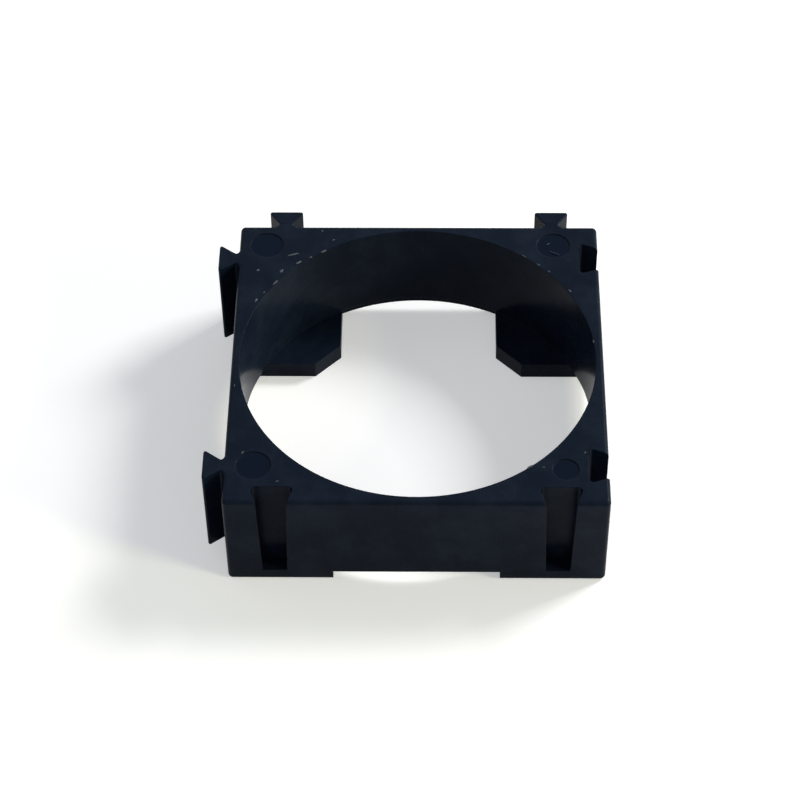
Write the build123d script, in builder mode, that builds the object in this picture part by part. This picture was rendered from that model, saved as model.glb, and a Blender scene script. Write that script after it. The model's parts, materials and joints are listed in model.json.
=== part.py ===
from build123d import *
import os

# Battery cell holder bracket: one injection-moulded square ring that spaces a single cylindrical
# cell in a pack. The cell stands in the round bore on four corner stops. Dovetail keys on the left
# and back sides slide into the dovetail slots of the neighbouring brackets' right and front sides,
# so brackets join into a grid of any size. The stops leave a cross-shaped window for the cell's
# terminal, and the window runs out under the side walls as channels for the connecting strips.
#
# Frame, in millimetres: the origin is on the cell's axis, in the plane of the seat on which the
# cell's end rests. +Z points up out of the bore, +X to the right and +Y to the back.

# Cell and bore
cell_diameter = 32.2  # a 32650 or 32700 cell in its sleeve
cell_clearance = 0.2  # gap all round between the cell and the bore
side_wall = 0.7  # thinnest wall, at the middle of each side
seat_relief = 0.2  # the opening below the seat is this much wider all round than the bore

# Body
body_height = 11.0
corner_radius = 0.45  # upright corners
top_edge_radius = 0.4
foot_edge_radius = 0.4

# Corner stops and the channels for the strips
stop_height = 1.8  # feet to seat
strip_width = 14.0
strip_clearance = 0.5  # each side of the strip
stop_chamfer = 2.4  # legs of the bevel on each stop's inner corner
channel_height = 1.15

# Dovetail keys
key_width = 3.0  # across the tip
key_neck_width = 1.3
key_height = 1.75  # out from the side
key_neck_straight = 0.05  # upright part of the neck, above the root fillet
key_root_radius = 0.4
key_tip_radius = 0.25  # upright corners of the tip
key_edge_radius = 0.2  # top and bottom edges
key_lift = 1.5  # lower end of the key, above the feet

# Dovetail slots
tip_clearance = 0.08  # between a key's tip and the back of its slot
flank_clearance = 0.55  # each side of a key's tip, at the open end of the slot
mouth_clearance = 0.7  # each side of a key's neck, at the open end of the slot
slot_draft = 1.4  # degrees; the slot narrows downwards and centres the key
slot_end_clearance = 0.15  # between a key's lower end and the floor of its slot
slot_corner_radius = 0.4
corner_web = 0.42  # plastic left between the two slots that share a corner

# Ejector pin marks on the top face
pin_radius = 1.6
small_pin_radius = 1.2
pin_mark_depth = 0.1
pin_inset = 2.6  # from the nearer side to the centre of a mark
key_pin_inset = 4.2  # from the side behind a key to the centre of the mark beside that key
small_pin_inset = 3.85

# Sizes that follow from those above
bore_radius = cell_diameter / 2 + cell_clearance
half_width = bore_radius + side_wall
body_width = 2 * half_width
base_z = -stop_height
top_z = base_z + body_height
window_half = strip_width / 2 + strip_clearance
stop_reach = 2 * window_half + stop_chamfer
slot_depth = key_height + tip_clearance
slot_half = key_width / 2 + flank_clearance
mouth_half = key_neck_width / 2 + mouth_clearance
dovetail_offset = half_width - slot_depth - corner_web - slot_half
key_length = body_height - key_lift
slot_length = key_length + slot_end_clearance
top_radius = min(top_edge_radius, 0.6 * side_wall)

# Key: the dovetail is drawn with its root on the side's surface at the local origin and its tip
# towards +Y. The foot of the profile reaches into the wall, behind the rounded top edge.
key_foot_half = key_neck_width / 2 + key_root_radius
key_foot_depth = 1.5 * top_radius
key_neck_top = key_root_radius + key_neck_straight
with BuildPart() as key:
    with BuildSketch(Plane.XY.offset(top_z)) as key_profile:
        with BuildLine():
            Line((0, -key_foot_depth), (key_foot_half, -key_foot_depth))
            Line((key_foot_half, -key_foot_depth), (key_foot_half, 0))
            CenterArc((key_foot_half, key_root_radius), key_root_radius, 270, -90)
            Polyline(
                (key_neck_width / 2, key_root_radius),
                (key_neck_width / 2, key_neck_top),
                (key_width / 2, key_height),
                (0, key_height),
            )
            mirror(about=Plane.YZ)
        make_face()
        fillet(key_profile.vertices().group_by(Axis.Y)[-1], key_tip_radius)
    extrude(amount=-key_length)
    key_top_edges = key.faces().sort_by(Axis.Z)[-1].edges().sort_by(Axis.Y)[1:]
    key_bottom_edges = key.faces().sort_by(Axis.Z)[0].edges().sort_by(Axis.Y)[1:]
    fillet(key_top_edges + key_bottom_edges, key_edge_radius)

# Slot: the space that a key slides down into, drawn the same way with its back towards -Y.
# Its flanks run on past the side's surface, so that the mouth is cut clean through.
flank_slope = (slot_half - mouth_half) / slot_depth
mouth_overrun = slot_depth / 2
with BuildPart() as slot:
    with BuildSketch(Plane.XY.offset(top_z)) as slot_profile:
        with BuildLine():
            Polyline(
                (slot_half, -slot_depth),
                (mouth_half - flank_slope * mouth_overrun, mouth_overrun),
                (-mouth_half + flank_slope * mouth_overrun, mouth_overrun),
                (-slot_half, -slot_depth),
                close=True,
            )
        make_face()
        fillet(slot_profile.vertices().group_by(Axis.Y)[0], slot_corner_radius)
    extrude(amount=-slot_length, taper=slot_draft)

# Places on the four sides, each with its local +Y pointing out of the side
left_keys = [Location((-half_width, y, 0), (0, 0, 90)) for y in (-dovetail_offset, dovetail_offset)]
back_keys = [Location((x, half_width, 0)) for x in (-dovetail_offset, dovetail_offset)]
right_slots = [Location((half_width, y, 0), (0, 0, -90)) for y in (-dovetail_offset, dovetail_offset)]
front_slots = [Location((x, -half_width, 0), (0, 0, 180)) for x in (-dovetail_offset, dovetail_offset)]

with BuildPart() as cell_holder_bracket:
    # Square block with its outer edges rounded
    with BuildSketch(Plane.XY.offset(base_z)):
        RectangleRounded(body_width, body_width, corner_radius)
    extrude(amount=body_height)
    fillet(cell_holder_bracket.faces().sort_by(Axis.Z)[-1].edges(), top_radius)
    fillet(cell_holder_bracket.faces().sort_by(Axis.Z)[0].edges(), foot_edge_radius)

    # Channels for the strips, right across the underside in both directions
    with BuildSketch(Plane.XY.offset(base_z)):
        Rectangle(2 * body_width, 2 * window_half)
        Rectangle(2 * window_half, 2 * body_width)
    extrude(amount=channel_height, mode=Mode.SUBTRACT)

    # Window between the stops: a cross with bevelled inner corners, ending a little outside the bore
    with BuildSketch(Plane.XY.offset(base_z)):
        Rectangle(2 * body_width, 2 * window_half)
        Rectangle(2 * window_half, 2 * body_width)
        Rectangle(stop_reach * 2**0.5, stop_reach * 2**0.5, rotation=45)
        Circle(bore_radius + seat_relief, mode=Mode.INTERSECT)
    extrude(amount=stop_height, mode=Mode.SUBTRACT)

    # Bore above the stops
    with BuildSketch():
        Circle(bore_radius)
    extrude(amount=top_z, mode=Mode.SUBTRACT)

    # Dovetails
    with Locations(*left_keys, *back_keys):
        add(key.part)
    with Locations(*right_slots, *front_slots):
        add(slot.part, mode=Mode.SUBTRACT)

    # Ejector pin marks
    wide = half_width - pin_inset
    with BuildSketch(Plane.XY.offset(top_z)):
        with Locations((-wide, wide)):
            Circle(pin_radius)
        with Locations((-wide, key_pin_inset - half_width), (half_width - key_pin_inset, wide)):
            Circle(pin_radius)
        with Locations((half_width - small_pin_inset, small_pin_inset - half_width)):
            Circle(small_pin_radius)
    extrude(amount=-pin_mark_depth, mode=Mode.SUBTRACT)

cell_holder_bracket.part.label = "cell_holder_bracket"
os.makedirs("parts", exist_ok=True)
export_step(cell_holder_bracket.part, "parts/cell_holder_bracket.step")
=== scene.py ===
"""Battery cell holder bracket: finish, small moulding flaws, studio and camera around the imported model."""
import json
import math
import random

import bmesh
import bpy
from mathutils import Matrix, Vector


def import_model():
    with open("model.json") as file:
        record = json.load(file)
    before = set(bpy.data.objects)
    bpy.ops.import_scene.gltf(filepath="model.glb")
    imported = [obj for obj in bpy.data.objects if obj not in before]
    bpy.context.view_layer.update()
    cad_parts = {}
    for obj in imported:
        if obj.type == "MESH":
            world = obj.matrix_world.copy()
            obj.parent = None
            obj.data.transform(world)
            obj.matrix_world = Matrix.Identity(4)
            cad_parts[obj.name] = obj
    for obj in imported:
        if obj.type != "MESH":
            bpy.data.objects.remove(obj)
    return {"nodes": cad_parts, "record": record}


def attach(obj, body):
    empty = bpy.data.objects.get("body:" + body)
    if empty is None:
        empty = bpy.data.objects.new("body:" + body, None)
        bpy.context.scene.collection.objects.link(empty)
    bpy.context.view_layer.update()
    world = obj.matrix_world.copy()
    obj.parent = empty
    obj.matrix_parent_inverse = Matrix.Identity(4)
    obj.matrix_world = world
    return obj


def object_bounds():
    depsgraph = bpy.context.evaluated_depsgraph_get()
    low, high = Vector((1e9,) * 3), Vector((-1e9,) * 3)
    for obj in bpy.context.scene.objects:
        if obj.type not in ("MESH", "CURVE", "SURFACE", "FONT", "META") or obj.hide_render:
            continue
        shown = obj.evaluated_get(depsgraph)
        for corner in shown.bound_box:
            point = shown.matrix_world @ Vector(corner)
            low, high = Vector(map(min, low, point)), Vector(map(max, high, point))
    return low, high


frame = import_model()
CAD_LOW, CAD_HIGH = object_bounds()

MM = 0.001
NODE = "cell_holder_bracket"
SLOT = "black_plastic"

# ---- sizes taken from the frame ----
MOUNTS = {mount["name"]: mount for mount in frame["record"]["mounts"]}
HALF_WIDTH = MOUNTS["right_face"]["pos_m"][0]
TOP = CAD_HIGH.z
FLOOR = CAD_LOW.z
DOVETAIL_OFFSET = 12.7 * MM  # from the middle of a side to the middle of each key
KEY_FOOT = FLOOR + 1.5 * MM

# ---- the keys' heads, in millimetres ----
HEAD_SKIN = 0.004  # how far a head stands over the ends of the CAD node's key
HEAD_HALF_WIDTH = 1.57
HEAD_REACH = 1.88  # from the wall to the tip
HEAD_CORNER = 0.20
HEAD_EDGE = 0.09
HEAD_FLANK = ((0.655, 0.34), (0.70, 0.46), (1.56, 1.64))  # (across, outward), from the neck to the shoulder

# ---- ejector pin marks: centre (x, y) and radius ----
MARK_RADIUS = 1.6 * MM
SMALL_MARK_RADIUS = 1.2 * MM
MARK_INSET = 2.6 * MM  # from an outer side without slots
SLOT_INSET = 4.2 * MM  # from an outer side with slots
SMALL_MARK_INSET = 3.85 * MM
PIN_MARKS = (
    ((-HALF_WIDTH + MARK_INSET, HALF_WIDTH - MARK_INSET), MARK_RADIUS),
    ((-HALF_WIDTH + MARK_INSET, -HALF_WIDTH + SLOT_INSET), MARK_RADIUS),
    ((HALF_WIDTH - SLOT_INSET, HALF_WIDTH - MARK_INSET), MARK_RADIUS),
    ((HALF_WIDTH - SMALL_MARK_INSET, -HALF_WIDTH + SMALL_MARK_INSET), SMALL_MARK_RADIUS),
)
MARK_DEPTH_RANGE = (TOP - 0.3 * MM, TOP - 0.2 * MM)  # the marks' colour fades in between these heights
MARK_SPREAD = 0.05 * MM  # the colour starts this far outside a mark
MARK_FADE = 0.30 * MM  # and is full this far inside it
# the painted light on the pin marks' step walls fades out this far from a mark's edge, and is full within
# STEP_CORE of it
STEP_REACH = 0.12 * MM
STEP_CORE = 0.02 * MM


class Nodes:
    """Short calls for adding and joining shader nodes in one tree."""

    def __init__(self, tree):
        self.tree = tree
        self.tree.nodes.clear()

    def add(self, kind, inputs=None, **settings):
        node = self.tree.nodes.new(kind)
        for name, value in settings.items():
            setattr(node, name, value)
        for name, value in (inputs or {}).items():
            if isinstance(value, bpy.types.NodeSocket):
                self.tree.links.new(value, node.inputs[name])
            else:
                node.inputs[name].default_value = value
        return node

    def math(self, operation, *values, clamp=False):
        inputs = dict(enumerate(values))
        return self.add("ShaderNodeMath", inputs, operation=operation, use_clamp=clamp).outputs[0]

    def ramp(self, value, low, high, from_value=0.0, to_value=1.0):
        inputs = {"Value": value, "From Min": low, "From Max": high, "To Min": from_value, "To Max": to_value}
        return self.add("ShaderNodeMapRange", inputs).outputs["Result"]

    def noise(self, vector, scale, detail=2.0, roughness=0.5):
        inputs = {"Vector": vector, "Scale": scale, "Detail": detail, "Roughness": roughness}
        return self.add("ShaderNodeTexNoise", inputs).outputs["Fac"]

    def mix(self, factor, first, second):
        node = self.add("ShaderNodeMix", data_type="RGBA")
        for socket, value in ((node.inputs[0], factor), (node.inputs[6], first), (node.inputs[7], second)):
            if isinstance(value, bpy.types.NodeSocket):
                self.tree.links.new(value, socket)
            else:
                socket.default_value = value
        return node.outputs[2]


def new_material(name):
    material = bpy.data.materials.new(name)
    material.use_nodes = True
    return material, Nodes(material.node_tree)


# ---- materials ----
PLASTIC_DARK = (0.0044, 0.0082, 0.0172, 1.0)
PLASTIC_LIGHT = (0.0060, 0.0108, 0.0220, 1.0)
PLASTIC_BLOOM = (0.0110, 0.0170, 0.0310, 1.0)
MARK_COLOUR = (0.0030, 0.0070, 0.0185, 1.0)
# painted light: a lighter colour painted on the shaded step walls round the pin marks
STEP_PAINTED_LIGHT = (0.0085, 0.0135, 0.0240, 1.0)
DUST_COLOUR = (0.060, 0.066, 0.072, 1.0)
TORN_DARK = (0.020, 0.025, 0.031, 1.0)
TORN_LIGHT = (0.062, 0.071, 0.082, 1.0)
PAPER_COLOUR = (0.80, 0.80, 0.80, 1.0)
WHITE = (1.0, 1.0, 1.0, 1.0)
SKY_COLOUR = (0.84, 0.93, 1.0, 1.0)
BACKDROP_LIFT = 0.42  # white added to the floor's own light, for the camera and for reflections
SKY_STRENGTH = 0.26


def pin_mark_masks(nodes, position):
    """Two masks on the top face: 1 inside the ejector pin marks, and 1 on the small step walls around them,
    where a lighter colour is painted as painted light over their shade.
    """
    split = nodes.add("ShaderNodeSeparateXYZ", {"Vector": position}).outputs
    mask = 0.0
    step_painted_light = 0.0
    for (x, y), radius in PIN_MARKS:
        across = nodes.math("SUBTRACT", split["X"], x)
        along = nodes.math("SUBTRACT", split["Y"], y)
        squares = nodes.math("ADD", nodes.math("POWER", across, 2.0), nodes.math("POWER", along, 2.0))
        distance = nodes.math("SQRT", squares)
        inside = nodes.ramp(distance, radius + MARK_SPREAD, radius - MARK_FADE)
        mask = nodes.math("MAXIMUM", inside, mask)
        off_step = nodes.math("ABSOLUTE", nodes.math("SUBTRACT", distance, radius))
        step_painted_light = nodes.math("MAXIMUM", nodes.ramp(off_step, STEP_REACH, STEP_CORE), step_painted_light)
    on_top = nodes.ramp(split["Z"], *MARK_DEPTH_RANGE)
    return nodes.math("MULTIPLY", mask, on_top), nodes.math("MULTIPLY", step_painted_light, on_top)


def black_plastic():
    """Semi-gloss moulded black plastic: faint flow and mould texture, fine scratches, a little dust, and
    painted light on the shaded step walls round the pin marks.
    """
    material, nodes = new_material(SLOT)
    position = nodes.add("ShaderNodeTexCoord").outputs["Object"]

    flow = nodes.noise(position, 90.0, detail=3.0)
    grain = nodes.noise(position, 2600.0, detail=3.0, roughness=0.6)
    stretched = nodes.add(
        "ShaderNodeMapping", {"Vector": position, "Rotation": (0.0, 0.0, 0.6), "Scale": (1.0, 0.03, 1.0)}
    ).outputs["Vector"]
    scratch_noise = nodes.noise(stretched, 5200.0, detail=1.0)
    scratches = nodes.ramp(scratch_noise, 0.70, 0.76)
    dust = nodes.ramp(nodes.noise(position, 2300.0, detail=0.0), 0.83, 0.86)
    mottling = nodes.ramp(nodes.noise(position, 330.0, detail=5.0, roughness=0.65), 0.42, 0.68)
    marks, step_painted_light = pin_mark_masks(nodes, position)

    colour = nodes.mix(flow, PLASTIC_DARK, PLASTIC_LIGHT)
    colour = nodes.mix(nodes.math("MULTIPLY", mottling, 0.8), colour, PLASTIC_BLOOM)
    colour = nodes.mix(marks, colour, MARK_COLOUR)
    # painted light: the step walls round the pin marks are painted lighter over their shade
    colour = nodes.mix(nodes.math("MULTIPLY", step_painted_light, 0.8), colour, STEP_PAINTED_LIGHT)
    colour = nodes.mix(nodes.math("MULTIPLY", dust, 0.03), colour, DUST_COLOUR)

    roughness = nodes.ramp(flow, 0.3, 0.7, 0.20, 0.25)
    roughness = nodes.math("ADD", roughness, nodes.math("MULTIPLY", scratches, 0.06))
    roughness = nodes.math("ADD", roughness, nodes.math("MULTIPLY", grain, 0.04))

    rounded = nodes.add("ShaderNodeBevel", {"Radius": 0.10 * MM}, samples=6).outputs["Normal"]
    height = nodes.math("ADD", nodes.math("MULTIPLY", grain, 0.5), nodes.math("MULTIPLY", scratches, -0.25))
    bump = nodes.add("ShaderNodeBump", {
        "Strength": 0.04,
        "Distance": 0.01 * MM,
        "Height": height,
        "Normal": rounded,
    })

    shader = nodes.add("ShaderNodeBsdfPrincipled", {
        "Base Color": colour,
        "Roughness": roughness,
        "Specular IOR Level": 0.04,
        "Normal": bump.outputs["Normal"],
    })
    nodes.add("ShaderNodeOutputMaterial", {"Surface": shader.outputs["BSDF"]})
    return material


def stressed_plastic():
    """Torn or rubbed black plastic, paler and duller than the moulded skin."""
    material, nodes = new_material("stressed_plastic")
    position = nodes.add("ShaderNodeTexCoord").outputs["Object"]
    mottling = nodes.noise(position, 4000.0, detail=3.0)
    colour = nodes.mix(mottling, TORN_DARK, TORN_LIGHT)
    shader = nodes.add("ShaderNodeBsdfPrincipled", {
        "Base Color": colour,
        "Roughness": 0.5,
        "Specular IOR Level": 0.4,
    })
    nodes.add("ShaderNodeOutputMaterial", {"Surface": shader.outputs["BSDF"]})
    return material


def backdrop_white():
    """White paper that keeps its shadows; what the camera and reflections see is lifted to full white."""
    material, nodes = new_material("backdrop_white")
    path = nodes.add("ShaderNodeLightPath").outputs
    seen = nodes.math("ADD", path["Is Camera Ray"], path["Is Glossy Ray"])
    seen = nodes.math("ADD", seen, path["Is Transmission Ray"], clamp=True)
    strength = nodes.math("MULTIPLY", seen, BACKDROP_LIFT)
    paper = nodes.add("ShaderNodeBsdfDiffuse", {"Color": PAPER_COLOUR})
    lift = nodes.add("ShaderNodeEmission", {"Color": WHITE, "Strength": strength})
    both = nodes.add("ShaderNodeAddShader", {0: paper.outputs[0], 1: lift.outputs[0]})
    nodes.add("ShaderNodeOutputMaterial", {"Surface": both.outputs[0]})
    return material


# ---- pieces ----
def link(obj):
    bpy.context.scene.collection.objects.link(obj)
    return obj


# Rubbed spots and torn flakes on the top face and along the rim of the bore, in millimetres:
# (x, y), length, width, heading in degrees
FLAKES = (
    ((-9.0, 13.6), 0.75, 0.26, 215.0),
    ((-11.3, 12.1), 0.70, 0.30, 225.0),
    ((-12.9, 11.0), 0.55, 0.34, 240.0),
    ((-13.4, 9.5), 0.85, 0.20, 235.0),
    ((-15.1, 7.2), 0.60, 0.22, 245.0),
    ((-10.2, 12.8), 0.35, 0.14, 220.0),
    ((-14.4, 8.2), 0.30, 0.14, 240.0),
    ((-8.1, 15.1), 0.30, 0.16, 20.0),
    ((-9.2, 16.3), 0.26, 0.18, 80.0),
    ((-15.1, 11.1), 0.38, 0.34, 10.0),
    ((-11.9, 13.15), 1.30, 0.20, 20.0),
    ((12.95, 13.4), 1.30, 0.08, -28.0),
    ((12.3, 14.6), 0.40, 0.10, 35.0),
    ((14.2, 8.5), 0.45, 0.20, 120.0),
    ((16.15, 2.1), 0.50, 0.16, 98.0),
    ((10.0, 13.0), 0.45, 0.14, 143.0),
    ((11.3, 11.9), 0.50, 0.16, 136.0),
    ((12.3, 11.0), 0.35, 0.14, 132.0),
    ((10.0, -12.85), 0.75, 0.22, 38.0),
    ((14.9, -11.2), 0.30, 0.14, 60.0),
    ((11.2, -12.9), 0.25, 0.12, 15.0),
    ((-16.55, -3.4), 0.30, 0.12, 85.0),
    ((-15.4, -11.3), 0.36, 0.18, 60.0),
    ((-12.2, -14.6), 0.34, 0.14, 20.0),
)
FLAKE_HEIGHT = 0.035  # millimetres
FLAKE_CORNERS = 9


def add_flake(build, chance, place, length, width, heading):
    """One low, irregular scab of plastic, half sunk in the top face."""
    centre = Vector((place[0], place[1], 0.0)) * MM + Vector((0.0, 0.0, TOP))
    turn = Matrix.Rotation(math.radians(heading), 3, "Z")
    reaches = [chance.uniform(0.75, 1.15) for _ in range(FLAKE_CORNERS)]
    rings = []
    for share, height in ((1.0, -0.6), (0.9, 0.25), (0.5, 1.0)):
        ring = []
        for corner, reach in enumerate(reaches):
            angle = 2 * math.pi * corner / FLAKE_CORNERS
            flat = Vector((math.cos(angle) * length / 2, math.sin(angle) * width / 2, 0.0)) * reach * share
            lift = Vector((0.0, 0.0, height * FLAKE_HEIGHT))
            ring.append(build.verts.new(centre + (turn @ flat + lift) * MM))
        rings.append(ring)
    for lower, upper in zip(rings, rings[1:]):
        for corner in range(FLAKE_CORNERS):
            following = (corner + 1) % FLAKE_CORNERS
            build.faces.new((lower[corner], lower[following], upper[following], upper[corner]))
    build.faces.new(rings[0][::-1])
    build.faces.new(rings[-1])


def surface_flakes(material):
    """All the rubbed spots and flakes as one piece."""
    chance = random.Random(7)
    build = bmesh.new()
    for place, length, width, heading in FLAKES:
        add_flake(build, chance, place, length, width, heading)
    bmesh.ops.recalc_face_normals(build, faces=build.faces)
    mesh = bpy.data.meshes.new("surface_flakes")
    build.to_mesh(mesh)
    build.free()
    mesh.materials.append(material)
    return link(bpy.data.objects.new("surface_flakes", mesh))


def key_outline():
    """Half of a key's head, from its neck to the middle of its tip: (across, outward) in millimetres."""
    points = list(HEAD_FLANK)
    for step in range(4):
        turn = math.radians(30.0 * step)
        across = HEAD_HALF_WIDTH - HEAD_CORNER + HEAD_CORNER * math.cos(turn)
        outward = HEAD_REACH - HEAD_CORNER + HEAD_CORNER * math.sin(turn)
        points.append((across, outward))
    return points


def key_head(name, centre, outward, material):
    """The full dovetail head of one key, with blunt shoulders, over the narrower one of the CAD node."""
    across = Vector((-outward.y, outward.x, 0.0))
    half = key_outline()
    outline = half + [(-x, y) for x, y in reversed(half)]
    build = bmesh.new()
    rings = []
    for z in (KEY_FOOT - HEAD_SKIN * MM, TOP + HEAD_SKIN * MM):
        level = Vector((0.0, 0.0, z))
        ring = [build.verts.new(centre + across * x * MM + outward * y * MM + level) for x, y in outline]
        rings.append(ring)
    lids = [build.faces.new(rings[0]), build.faces.new(rings[1])]
    for index in range(len(outline)):
        following = (index + 1) % len(outline)
        build.faces.new((rings[0][index], rings[0][following], rings[1][following], rings[1][index]))
    bmesh.ops.recalc_face_normals(build, faces=build.faces)
    neck = {rings[0][0], rings[0][-1], rings[1][0], rings[1][-1]}
    edges = [edge for lid in lids for edge in lid.edges if not set(edge.verts) <= neck]
    bmesh.ops.bevel(build, geom=edges, offset=HEAD_EDGE * MM, segments=3, profile=0.5, affect="EDGES")
    mesh = bpy.data.meshes.new(name)
    build.to_mesh(mesh)
    build.free()
    mesh.materials.append(material)
    return link(bpy.data.objects.new(name, mesh))


def key_heads(material):
    """One head on each of the two keys on the left side and the two on the back."""
    heads = []
    for side, outward in (("left", Vector((-1, 0, 0))), ("back", Vector((0, 1, 0)))):
        across = Vector((outward.y, -outward.x, 0.0))
        for end, sign in (("a", -1), ("b", 1)):
            centre = outward * HALF_WIDTH + across * sign * DOVETAIL_OFFSET
            heads.append(key_head(f"key_head_{side}_{end}", centre, outward, material))
    return heads


# ---- stage ----
CAMERA_PLACE = (1.707 * MM, -155.977 * MM, FLOOR + 183.862 * MM)
CAMERA_TURN = 1.23  # degrees
CAMERA_DOWN = 48.88
CAMERA_ROLL = -0.756


def backdrop(material):
    """A flat pale floor, large enough to fill every view."""
    mesh = bpy.data.meshes.new("floor")
    reach = 3.0
    corners = [(-reach, -reach, FLOOR), (reach, -reach, FLOOR), (reach, reach, FLOOR), (-reach, reach, FLOOR)]
    mesh.from_pydata(corners, [], [(0, 1, 2, 3)])
    floor = link(bpy.data.objects.new("floor", mesh))
    floor.data.materials.append(material)


def world():
    """Dim even sky for fill light; white where the camera or a reflection looks past the floor."""
    sky = bpy.data.worlds.new("studio")
    bpy.context.scene.world = sky
    sky.use_nodes = True
    nodes = Nodes(sky.node_tree)
    path = nodes.add("ShaderNodeLightPath").outputs
    seen = nodes.math("ADD", path["Is Camera Ray"], path["Is Glossy Ray"])
    seen = nodes.math("ADD", seen, path["Is Transmission Ray"], clamp=True)
    strength = nodes.ramp(seen, 0.0, 1.0, SKY_STRENGTH, 1.0)
    colour = nodes.mix(path["Is Camera Ray"], SKY_COLOUR, WHITE)
    light = nodes.add("ShaderNodeBackground", {"Color": colour, "Strength": strength})
    nodes.add("ShaderNodeOutputWorld", {"Surface": light.outputs[0]})


def area_light(name, place, size, watts, colour=(1, 1, 1)):
    """A square softbox at place, in metres, facing the middle of the object."""
    lamp = bpy.data.lights.new(name, "AREA")
    lamp.size = size
    lamp.energy = watts
    lamp.color = colour
    obj = link(bpy.data.objects.new(name, lamp))
    obj.location = place
    obj.rotation_euler = (-Vector(place)).to_track_quat("-Z", "Y").to_euler()


def camera():
    """The main viewpoint: about 240 mm away, looking down by 49 degrees on a long lens."""
    data = bpy.data.cameras.new("camera")
    data.sensor_width = 36.0
    data.lens = 114.7
    view = link(bpy.data.objects.new("camera", data))
    turn = Matrix.Rotation(math.radians(CAMERA_TURN), 4, "Z")
    tilt = Matrix.Rotation(math.radians(90.0 - CAMERA_DOWN), 4, "X")
    roll = Matrix.Rotation(math.radians(CAMERA_ROLL), 4, "Z")
    view.matrix_world = Matrix.Translation(CAMERA_PLACE) @ turn @ tilt @ roll
    bpy.context.scene.camera = view


# ---- put together ----
plastic = black_plastic()
bracket = frame["nodes"][NODE]
bracket.data.materials.clear()
bracket.data.materials.append(plastic)

for piece in [surface_flakes(stressed_plastic()), *key_heads(plastic)]:
    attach(piece, "root")

backdrop(backdrop_white())
world()
area_light("key", (0.50, 0.32, 0.46), 0.22, 4.6, (1.0, 0.99, 0.97))
area_light("fill", (-0.45, 0.10, 0.50), 0.40, 0.25, (0.90, 0.95, 1.0))
area_light("front", (0.50, -0.20, 0.24), 0.12, 1.6, (1.0, 0.95, 0.66))
camera()
bpy.context.scene.view_settings.view_transform = "Standard"
